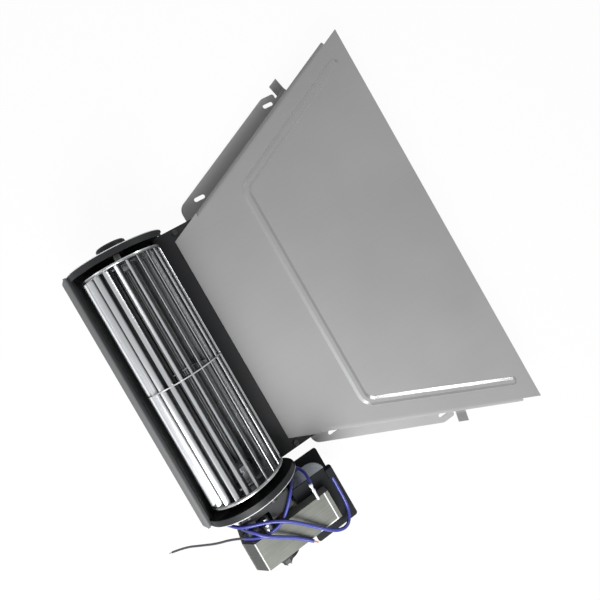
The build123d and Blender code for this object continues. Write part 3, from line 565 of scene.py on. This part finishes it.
def tab_tree():
    """Ring of staked tabs: each is a strip that leaves the disc and folds flat onto it."""
    tree, given = node_group(
        "staked_tabs",
        [
            ("Count", "NodeSocketInt", 22), ("Radius", "NodeSocketFloat", 0.026),
            ("Lean", "NodeSocketFloat", 0.0), ("Phase", "NodeSocketFloat", 0.0),
            ("Station", "NodeSocketFloat", 0.0884), ("Side", "NodeSocketFloat", 1.0),
            ("Width", "NodeSocketFloat", 0.0034), ("Reach", "NodeSocketFloat", 0.0016),
            ("Thickness", "NodeSocketFloat", 0.0003), ("Material", "NodeSocketMaterial", None),
        ],
    )
    strip = add_node(tree, MATH, {0: given["Side"], 1: given["Thickness"]}, operation="MULTIPLY")
    lifted = add_node(tree, MATH, {0: strip, 1: 2.0}, operation="MULTIPLY")
    laid = add_node(tree, MATH, {0: strip, 1: 0.5}, operation="MULTIPLY")
    bent = add_node(tree, MATH, {0: given["Reach"], 1: 0.6}, operation="MULTIPLY")
    fold = add_node(
        tree, "GeometryNodeCurvePrimitiveBezierSegment",
        {
            "Resolution": 8,
            "Start": (0, 0, 0),
            "Start Handle": add_node(tree, COMBINE, {0: lifted}),
            "End Handle": add_node(tree, COMBINE, {0: lifted, 1: bent}),
            "End": add_node(tree, COMBINE, {0: laid, 1: given["Reach"]}),
        },
    )
    section = add_node(
        tree, "GeometryNodeCurvePrimitiveQuadrilateral",
        {"Width": given["Width"], "Height": given["Thickness"]},
    )
    tab = add_node(tree, CURVE_TO_MESH, {"Curve": fold, "Profile Curve": section, "Fill Caps": True})
    lean = add_node(tree, COMBINE, {0: given["Lean"]})
    rise = add_node(tree, COMBINE, {2: given["Radius"]})
    leant = add_node(tree, TRANSFORM, {"Geometry": tab, "Rotation": lean})
    raised = add_node(tree, TRANSFORM, {"Geometry": leant, "Translation": rise})
    centre = add_node(tree, COMBINE, {0: given["Station"], 2: AXIS_HEIGHT})
    ring = ring_of(tree, raised, given["Count"], 0, given["Phase"], centre)
    close_group(tree, ring, given["Material"])
    return tree


def strand_tree():
    """Bare lead end: one strand in the middle and a twisted ring of strands round it."""
    tree, given = node_group(
        "bare_strands",
        [
            ("Count", "NodeSocketInt", 6), ("Strand", "NodeSocketFloat", 0.0003),
            ("Length", "NodeSocketFloat", 0.004), ("Twist", "NodeSocketFloat", 2.5),
            ("Start", "NodeSocketVector", None), ("Turn", "NodeSocketVector", None),
            ("Material", "NodeSocketMaterial", None),
        ],
    )
    tip = add_node(tree, COMBINE, {2: given["Length"]})
    straight = add_node(tree, "GeometryNodeCurvePrimitiveLine", {"End": tip})
    fine = add_node(tree, "GeometryNodeResampleCurve", {"Curve": straight, "Count": 12})
    place = add_node(tree, "GeometryNodeInputPosition")
    along = add_node(tree, "ShaderNodeSeparateXYZ", {0: place}).outputs["Z"]
    share = add_node(tree, MATH, {0: along, 1: given["Length"]}, operation="DIVIDE")
    turned = add_node(tree, MATH, {0: share, 1: given["Twist"]}, operation="MULTIPLY")
    beside = add_node(tree, COMBINE, {0: given["Strand"], 2: along})
    swept = {"Vector": beside, "Angle": turned}
    spun = add_node(tree, "ShaderNodeVectorRotate", swept, rotation_type="Z_AXIS")
    helix = add_node(tree, "GeometryNodeSetPosition", {"Geometry": fine, "Position": spun})
    half = add_node(tree, MATH, {0: given["Strand"], 1: 0.5}, operation="MULTIPLY")
    profile = add_node(tree, "GeometryNodeCurvePrimitiveCircle", {"Resolution": 8, "Radius": half})
    outer, inner = [
        add_node(tree, CURVE_TO_MESH, {"Curve": curve, "Profile Curve": profile, "Fill Caps": True})
        for curve in (helix, fine)
    ]
    together = add_node(tree, "GeometryNodeJoinGeometry")
    for strands in (inner, ring_of(tree, outer, given["Count"], 2)):
        tree.links.new(strands.outputs[0], together.inputs[0])
    placed = add_node(
        tree, TRANSFORM,
        {"Geometry": together, "Translation": given["Start"], "Rotation": given["Turn"]},
    )
    close_group(tree, placed, given["Material"])
    return tree


def bridge(shell, first, second):
    """Four-sided faces between two rings of vertices."""
    count = len(first)
    for k in range(count):
        n = (k + 1) % count
        shell.faces.new((first[k], first[n], second[n], second[k]))


def finished_mesh(name, shell, material):
    """Plain mesh of a closed shell, with its faces turned outwards."""
    bmesh.ops.recalc_face_normals(shell, faces=shell.faces)
    mesh = bpy.data.meshes.new(name)
    shell.to_mesh(mesh)
    shell.free()
    mesh.materials.append(material)
    return mesh


def rounded_loop(half_x, half_y, radius, steps):
    """Closed outline of a rounded rectangle about the origin."""
    points = []
    for sign_x, sign_y, start in ((1, 1, 0), (-1, 1, 90), (-1, -1, 180), (1, -1, 270)):
        for k in range(steps + 1):
            angle = math.radians(start + 90 * k / steps)
            points.append(
                (
                    sign_x * (half_x - radius) + radius * math.cos(angle),
                    sign_y * (half_y - radius) + radius * math.sin(angle),
                )
            )
    return points


def wound_tape(sizes, material):
    """Taped coil: each turn of tape laps the one below, so the side is a stack of low steps."""
    corner, hole_corner, hole_margin, steps = 12 * MM, 0.5 * MM, 1.9 * MM, 10
    # Shares of a turn's height where its lap ends and its edge starts, and of the step at that edge.
    lap_end, edge_start, edge_share = 0.12, 0.94, 0.3
    low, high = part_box("coil_winding")
    centre, half = (low + high) / 2, (high - low) / 2
    turns = max(2, round((high.z - low.z) / sizes.tape_width))
    rise = (high.z - low.z) / turns
    rows = []
    for k in range(turns):
        base = low.z + rise * k
        rows += [
            (base, sizes.tape_step),
            (base + lap_end * rise, 0.0),
            (base + edge_start * rise, edge_share * sizes.tape_step),
        ]
    rows.append((high.z, sizes.tape_step))
    shell = bmesh.new()
    loops = []
    for level, inset in rows:
        outline = rounded_loop(half.x - inset, half.y - inset, corner - inset, steps)
        loops.append([shell.verts.new((centre.x + x, centre.y + y, level)) for x, y in outline])
    core_low, core_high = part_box("coil_core")
    core_half = (core_high - core_low) / 2
    hole = rounded_loop(core_half.x + hole_margin, core_half.y + hole_margin, hole_corner, steps)
    for level in (high.z, low.z):
        loops.append([shell.verts.new((centre.x + x, centre.y + y, level)) for x, y in hole])
    for first, second in zip(loops, loops[1:] + loops[:1]):
        bridge(shell, first, second)
    piece = new_piece("coil_tape", finished_mesh("coil_tape", shell, material), "frame")
    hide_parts("coil_winding")
    return piece


def turned_piece(name, start, along, outline, material):
    """Round piece from (distance, radius) points along a direction, closed at both ends."""
    turn = along.to_track_quat("Z", "Y").to_matrix()
    sides = 20
    angles = [math.tau * k / sides for k in range(sides)]
    shell = bmesh.new()
    rows = []
    for distance, radius in outline:
        ring = [Vector((radius * math.cos(a), radius * math.sin(a), distance)) * MM for a in angles]
        rows.append([shell.verts.new(start + turn @ point) for point in ring])
    for first, second in zip(rows, rows[1:]):
        bridge(shell, first, second)
    shell.faces.new(rows[0])
    shell.faces.new(list(reversed(rows[-1])))
    mesh = finished_mesh(name, shell, material)
    for face in mesh.polygons:
        face.use_smooth = len(face.vertices) == 4
    return new_piece(name, mesh, "frame")


def knotted_sleeve(material):
    """Shrunk white sleeve on the joint of the coil lead, with two tied knots at its start."""
    low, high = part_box("lead_sleeve")
    middle = (low + high) / 2
    start = Vector((low.x, middle.y, middle.z + 0.3 * MM))
    along = Vector((1, 0, -0.03)).normalized()
    outline = [
        (-0.6, 1.25), (0.3, 1.5), (1.3, 1.45), (1.9, 0.95), (3.6, 0.9), (4.3, 1.25), (5.2, 1.3),
        (5.9, 0.9), (8.5, 0.95), (11.6, 0.95), (12.0, 0.8),
    ]
    piece = turned_piece("knotted_sleeve", start, along, outline, material)
    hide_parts("lead_sleeve")
    return piece


# ------------------------------------------------------------------ operators
class FAN_OT_duct(bpy.types.Operator):
    """Finish the duct"""

    bl_idname = "fan.duct"
    bl_label = "Duct"

    def execute(self, context):
        dress(coated_sheet(context.scene.fan_colours.duct), "diffuser_duct")
        return {"FINISHED"}


class FAN_OT_housing(bpy.types.Operator):
    """Finish the housing, its end plates and the motor brackets"""

    bl_idname = "fan.housing"
    bl_label = "Housing and brackets"

    def execute(self, context):
        colours = context.scene.fan_colours
        paint = stoved_paint(colours.paint, colours.edge)
        dress(paint, "fan_housing", "tongue_plate", "far_end_plate", "motor_end_plate")
        dress(paint, "motor_bracket", "rear_bracket")
        return {"FINISHED"}


class FAN_OT_impeller(bpy.types.Operator):
    """Finish the impeller and stake its blades"""

    bl_idname = "fan.impeller"
    bl_label = "Impeller"

    def execute(self, context):
        colours, sizes = context.scene.fan_colours, context.scene.fan_sizes
        along, across = (0.015, 1.2, 1.2), (0.4, 0.4, 0.4)
        blades = rolled_strip("rolled_aluminium_blades", colours.strip, along, 0.26, lit_blade_tips)
        discs = rolled_strip("pressed_aluminium_discs", colours.strip, across, 0.22, lit_disc_edges)
        dress(blades, "far_blades", "motor_blades")
        dress(discs, "far_disc", "mid_disc", "motor_disc")
        dress(plain_metal("ground_steel", colours.steel, 0.25, 0.6), "stub_shaft", "drive_hub")
        # One tab for each of the 22 blades, on the outer face of each end disc.
        ring_radius, disc_face = 26.2 * MM, 88.45 * MM
        blade_lean, first_blade = math.radians(-37), math.radians(2.9)
        tree = tab_tree()
        for name, side in (("far_tabs", -1.0), ("motor_tabs", 1.0)):
            values = {
                "Count": 22, "Radius": ring_radius, "Lean": blade_lean, "Phase": first_blade,
                "Station": side * disc_face, "Side": side, "Width": sizes.tab_width,
                "Reach": sizes.tab_reach, "Thickness": sizes.tab_thickness, "Material": discs,
            }
            grown(name, tree, values, "rotor")
        return {"FINISHED"}


class FAN_OT_motor(bpy.types.Operator):
    """Finish the motor and tape its coil"""

    bl_idname = "fan.motor"
    bl_label = "Motor"

    def execute(self, context):
        colours, sizes = context.scene.fan_colours, context.scene.fan_sizes
        steel = stack_edges(colours.stack, colours.edge, shade("26272a"))
        bronze = plain_metal("sintered_bronze", shade("7a6440")[:3], 0.42, 1.2)
        dress(steel, "stator_core", "coil_core", "rotor_core")
        dress(plain_metal("turned_steel", colours.steel, 0.22, 0.8), "motor_shaft")
        dress(plain_metal("cast_aluminium", shade("b0b1b1")[:3], 0.4, 0.4), "rotor_rings")
        dress(plain_metal("bare_copper", colours.copper, 0.3, 0.5), "shading_rings")
        dress(bronze, "far_bearing", "front_bearing", "rear_bearing")
        dress(moulded("black_rubber", shade("171717")[:3], 0.6, 0.5), "bearing_grommet")
        dress(moulded("natural_nylon", shade("cdc8b7")[:3], 0.4, 0.5), "thrust_washers")
        dress(moulded("black_nylon", colours.nylon, 0.42, 0.4, gloss=0.12), "coil_bobbin")
        wound_tape(sizes, woven_tape(colours.tape))
        return {"FINISHED"}


class FAN_OT_fasteners(bpy.types.Operator):
    """Finish the screws, nuts, spacers and rivets"""

    bl_idname = "fan.fasteners"
    bl_label = "Fasteners"

    def execute(self, context):
        oxide = black_oxide(shade("2a2b2d")[:3])
        zinc = plain_metal("zinc_plate", context.scene.fan_colours.zinc, 0.28, 0.5)
        dress(oxide, "core_nuts", "bracket_screws", "housing_rivets")
        dress(zinc, "hub_screw", "core_screws", "core_spacers")
        return {"FINISHED"}


class FAN_OT_leads(bpy.types.Operator):
    """Lay the leads along their routes, with their bare ends and the tied sleeve"""

    bl_idname = "fan.leads"
    bl_label = "Leads"

    def execute(self, context):
        colours, sizes = context.scene.fan_colours, context.scene.fan_sizes
        blue = moulded("blue_insulation", colours.lead, 0.28, 0.3)
        grey = moulded("dark_insulation", colours.tail, 0.35, 0.4)
        white = moulded("white_sleeving", colours.sleeve, 0.4, 0.8)
        copper = plain_metal("bare_strand", colours.copper, 0.3, 2.0)
        sleeve = knotted_sleeve(white)
        strands = strand_tree()
        thick, thin = sizes.lead_diameter, sizes.tail_diameter
        # The number in each row is the lead's length, in metres.
        rows = [
            ("lead_supply", SUPPLY_ROUTE, thick, blue, "lead_blue", 0.314, "bare", []),
            ("lead_tap", TAP_ROUTE, thick, blue, "lead_blue", 0.086, "knot", []),
            ("lead_tail", TAIL_ROUTE, thin, grey, "lead_grey", 0.0815, "bare", []),
            ("lead_coil", COIL_ROUTE, thick, blue, "lead_blue", 0.0366, "connector", [sleeve]),
        ]
        for name, route, diameter, material, slot, declared, far_end, pieces in rows:
            piece = lead_curve(name + "_line", route, diameter, material)
            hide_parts(name)
            if far_end == "bare":
                before, last = on_model(route)[-2:]
                heading = (last - before).normalized()
                overlap = 0.5 * MM
                values = {
                    "Count": 6, "Strand": sizes.strand_diameter * diameter / thick,
                    "Length": sizes.strand_length, "Twist": sizes.strand_twist,
                    "Start": last - heading * overlap,
                    "Turn": heading.to_track_quat("Z", "Y").to_euler(), "Material": copper,
                }
                pieces = [grown(name + "_strands", strands, values, "frame")]
        return {"FINISHED"}


class FAN_OT_studio(bpy.types.Operator):
    """Pale floor, soft light and the camera"""

    bl_idname = "fan.studio"
    bl_label = "Studio"

    def execute(self, context):
        add_floor()
        add_lights(context.scene)
        add_camera(context.scene)
        context.scene.view_settings.view_transform = "Standard"
        return {"FINISHED"}


# ------------------------------------------------------------------ studio
def add_floor():
    """Large flat floor under the part."""
    mesh = bpy.data.meshes.new("studio_floor")
    reach, level = 4.0, -0.5 * MM
    ground = [(x * reach, y * reach, level) for x, y in ((-1, -1), (1, -1), (1, 1), (-1, 1))]
    mesh.from_pydata(ground, [], [(0, 1, 2, 3)])
    floor = bpy.data.objects.new("studio_floor", mesh)
    bpy.context.collection.objects.link(floor)
    mesh.materials.append(floor_white())


def add_lamp(name, place, aim, size, power):
    """Rectangular soft light aimed at a point."""
    data = bpy.data.lights.new(name, "AREA")
    data.shape = "RECTANGLE"
    data.size, data.size_y = size
    data.energy = power
    lamp = bpy.data.objects.new(name, data)
    lamp.location = place
    lamp.rotation_euler = (Vector(aim) - Vector(place)).to_track_quat("-Z", "Y").to_euler()
    bpy.context.collection.objects.link(lamp)


def add_lights(scene):
    """Key from the motor end, fill from the far end, a low one over the lip, and one past the outlet
    that gives the bead its bright slope."""
    add_lamp("key_light", (0.36, -0.16, 0.46), (0.08, 0.08, 0), (0.36, 0.36), 5.4)
    add_lamp("fill_light", (-0.7, -0.1, 0.9), (0, 0.05, 0), (0.6, 0.6), 0.6)
    add_lamp("lip_light", (0.0, -0.9, 0.45), (0, 0, 0.05), (0.8, 0.3), 1.6)
    add_lamp("outlet_light", (-0.28, 0.95, 0.72), (0.05, 0.12, 0.03), (0.3, 0.08), 1.9)
    world = bpy.data.worlds.new("studio_world")
    world.use_nodes = True
    tree = world.node_tree
    tree.nodes.clear()
    soft = add_node(tree, "ShaderNodeBackground", {"Color": WHITE, "Strength": 0.22})
    bright = add_node(tree, "ShaderNodeBackground", {"Color": WHITE, "Strength": 1.0})
    blend = add_node(tree, "ShaderNodeMixShader", {"Fac": seen_directly(tree), 1: soft, 2: bright})
    add_node(tree, "ShaderNodeOutputWorld", {"Surface": blend})
    scene.world = world


def add_camera(scene):
    """Camera almost straight above, turned so that the impeller runs down to the right."""
    right = Vector((0.49648, 0.83500, 0.23714))
    look = Vector((0.0246, 0.2596, -0.9654)).normalized()
    right = (right - look * right.dot(look)).normalized()
    up = right.cross(look)
    data = bpy.data.cameras.new("view_camera")
    data.lens = 30.235
    data.sensor_width = 36.0
    data.shift_x = 0.0194
    data.shift_y = -0.0707
    data.clip_start = 0.01
    camera = bpy.data.objects.new("view_camera", data)
    turn = Matrix((right, up, -look)).transposed().to_4x4()
    camera.matrix_world = Matrix.Translation((-44.05 * MM, 8.93 * MM, 377.28 * MM + AXIS_HEIGHT)) @ turn
    bpy.context.collection.objects.link(camera)
    scene.camera = camera


# ------------------------------------------------------------------ add-on
OPERATORS = (
    FAN_OT_studio, FAN_OT_leads, FAN_OT_duct, FAN_OT_housing, FAN_OT_impeller, FAN_OT_motor, FAN_OT_fasteners,
)


class FAN_PT_panel(bpy.types.Panel):
    """Buttons, colours and sizes of the dresser"""

    bl_idname = "FAN_PT_panel"
    bl_label = "Cross flow fan"
    bl_space_type = "VIEW_3D"
    bl_region_type = "UI"
    bl_category = "Fan"

    def draw(self, context):
        column = self.layout.column()
        for group in (context.scene.fan_colours, context.scene.fan_sizes):
            for name in group.__annotations__:
                column.prop(group, name)
        for each in OPERATORS:
            column.operator(each.bl_idname)


CLASSES = (FanColours, FanSizes, *OPERATORS, FAN_PT_panel)


def register():
    for each in CLASSES:
        bpy.utils.register_class(each)
    bpy.types.Scene.fan_colours = bpy.props.PointerProperty(type=FanColours)
    bpy.types.Scene.fan_sizes = bpy.props.PointerProperty(type=FanSizes)


def unregister():
    del bpy.types.Scene.fan_colours
    del bpy.types.Scene.fan_sizes
    for each in reversed(CLASSES):
        bpy.utils.unregister_class(each)


def main():
    register()
    bpy.ops.fan.studio()
    bpy.ops.fan.leads()
    bpy.ops.fan.duct()
    bpy.ops.fan.housing()
    bpy.ops.fan.impeller()
    bpy.ops.fan.motor()
    bpy.ops.fan.fasteners()


if __name__ == "__main__":
    main()
